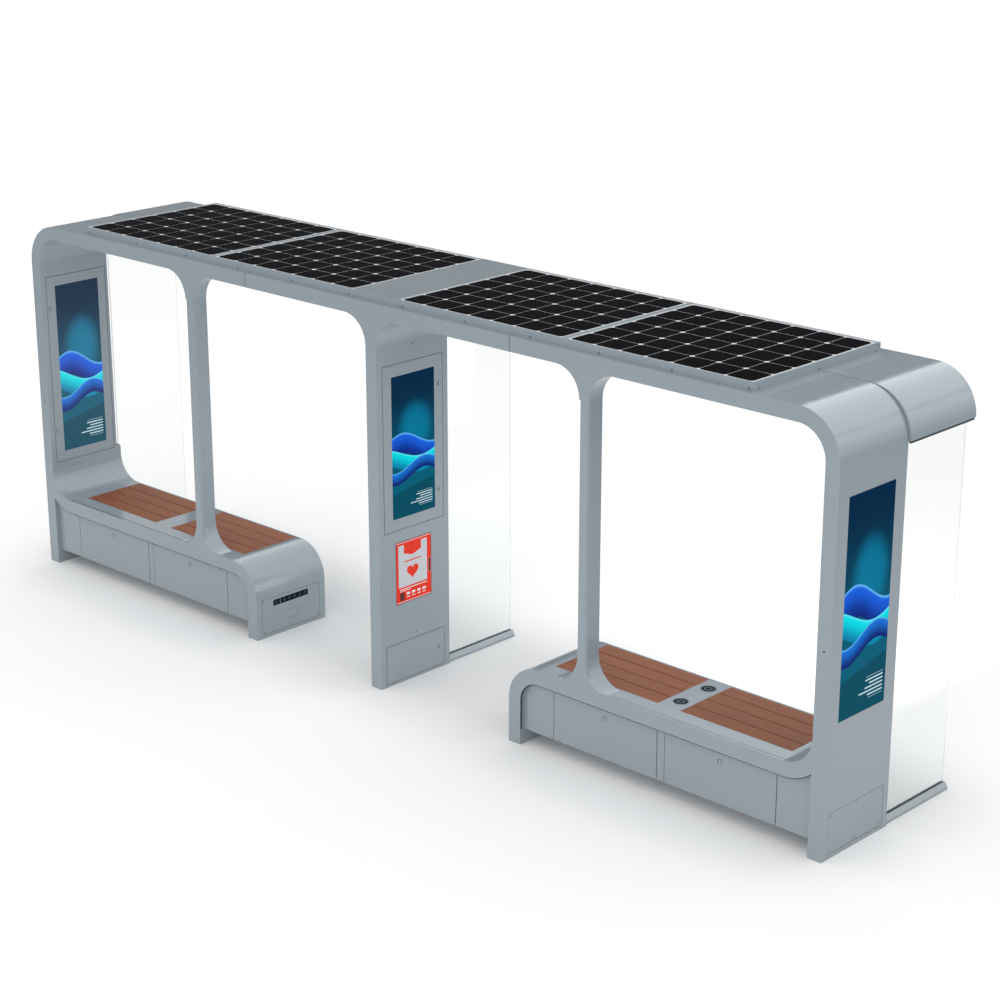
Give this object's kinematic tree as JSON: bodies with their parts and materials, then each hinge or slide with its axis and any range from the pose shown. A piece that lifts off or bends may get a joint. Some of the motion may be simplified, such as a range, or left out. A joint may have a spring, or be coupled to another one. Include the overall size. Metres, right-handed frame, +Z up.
{
  "type": "bus shelter",
  "caption": "Long bus shelter of rounded box-section frame with benches, storage bins, display walls, rear glass and solar panels on a flat roof.",
  "frame": {"origin": "middle of the footprint at ground level", "axes": "+X along the shelter to the right as seen from the front, +Y from the front to the rear, +Z up"},
  "size_m": [6.03, 1.08, 2.22],
  "materials": {
    "painted_metal": "satin powder coat",
    "clear_glass": "clear toughened glass",
    "wood_slats": "oiled reddish boards",
    "screen_glass": "glossy screen",
    "solar_cells": "glossy solar cells",
    "charger_pad": "dark rubbery plastic",
    "first_aid_panel": "gloss red paint"
  },
  "bodies": {
    "shelter": {"bench_end_covers": "painted_metal", "bench_status_strips": "charger_pad", "center_hood": "painted_metal", "center_pillar": "painted_metal", "center_pillar_head": "painted_metal", "center_roof": "painted_metal", "floor_rails": "painted_metal", "glass_panels": "clear_glass", "left_bench_frame": "painted_metal", "left_bench_slats": "wood_slats", "left_hood": "painted_metal", "left_post": "painted_metal", "left_roof": "painted_metal", "left_solar_panels": "solar_cells", "left_solar_tray": "painted_metal", "left_storage_box": "painted_metal", "left_wall": "painted_metal", "outer_screens": "screen_glass", "right_bench_frame": "painted_metal", "right_bench_slats": "wood_slats", "right_charger_pads": "charger_pad", "right_hood": "painted_metal", "right_post": "painted_metal", "right_roof": "painted_metal", "right_solar_panels": "solar_cells", "right_solar_tray": "painted_metal", "right_storage_box": "painted_metal", "right_wall": "painted_metal", "tray_cover": "painted_metal", "wall_covers": "painted_metal"},
    "left_display_door": {"left_display_door": "painted_metal", "left_display_screen": "screen_glass"},
    "right_display_door": {"right_display_door": "painted_metal", "right_display_screen": "screen_glass"},
    "center_display_door": {"center_display_door": "painted_metal", "center_display_screen": "screen_glass"},
    "first_aid_door": {"first_aid_door": "first_aid_panel"},
    "service_door": {"service_door": "painted_metal"},
    "left_inner_bin_door": {"left_inner_bin_door": "painted_metal"},
    "left_outer_bin_door": {"left_outer_bin_door": "painted_metal"},
    "right_inner_bin_door": {"right_inner_bin_door": "painted_metal"},
    "right_outer_bin_door": {"right_outer_bin_door": "painted_metal"}
  },
  "joints": [
    {"name": "left_display_door_hinge", "type": "hinge", "parent": "shelter", "child": "left_display_door", "pos_m": [-2.925, -0.0825, 0], "axis": [0, 0, 1], "range_deg": [0, 100]},
    {"name": "right_display_door_hinge", "type": "hinge", "parent": "shelter", "child": "right_display_door", "pos_m": [2.925, -0.0825, 0], "axis": [0, 0, -1], "range_deg": [0, 100]},
    {"name": "center_display_door_hinge", "type": "hinge", "parent": "shelter", "child": "center_display_door", "pos_m": [0.035, -0.4764, 0], "axis": [0, 0, -1], "range_deg": [0, 100]},
    {"name": "first_aid_door_hinge", "type": "hinge", "parent": "shelter", "child": "first_aid_door", "pos_m": [0.035, -0.395, 0], "axis": [0, 0, -1], "range_deg": [0, 100]},
    {"name": "service_door_hinge", "type": "hinge", "parent": "shelter", "child": "service_door", "pos_m": [0.035, -0.4754, 0], "axis": [0, 0, -1], "range_deg": [0, 100]},
    {"name": "right_inner_bin_door_hinge", "type": "hinge", "parent": "shelter", "child": "right_inner_bin_door", "pos_m": [1.633, -0.506, 0.095], "axis": [1, 0, 0], "range_deg": [0, 90]},
    {"name": "right_outer_bin_door_hinge", "type": "hinge", "parent": "shelter", "child": "right_outer_bin_door", "pos_m": [2.367, -0.506, 0.095], "axis": [1, 0, 0], "range_deg": [0, 90]},
    {"name": "left_inner_bin_door_hinge", "type": "hinge", "parent": "shelter", "child": "left_inner_bin_door", "pos_m": [-1.633, -0.506, 0.095], "axis": [1, 0, 0], "range_deg": [0, 90]},
    {"name": "left_outer_bin_door_hinge", "type": "hinge", "parent": "shelter", "child": "left_outer_bin_door", "pos_m": [-2.367, -0.506, 0.095], "axis": [1, 0, 0], "range_deg": [0, 90]}
  ]
}
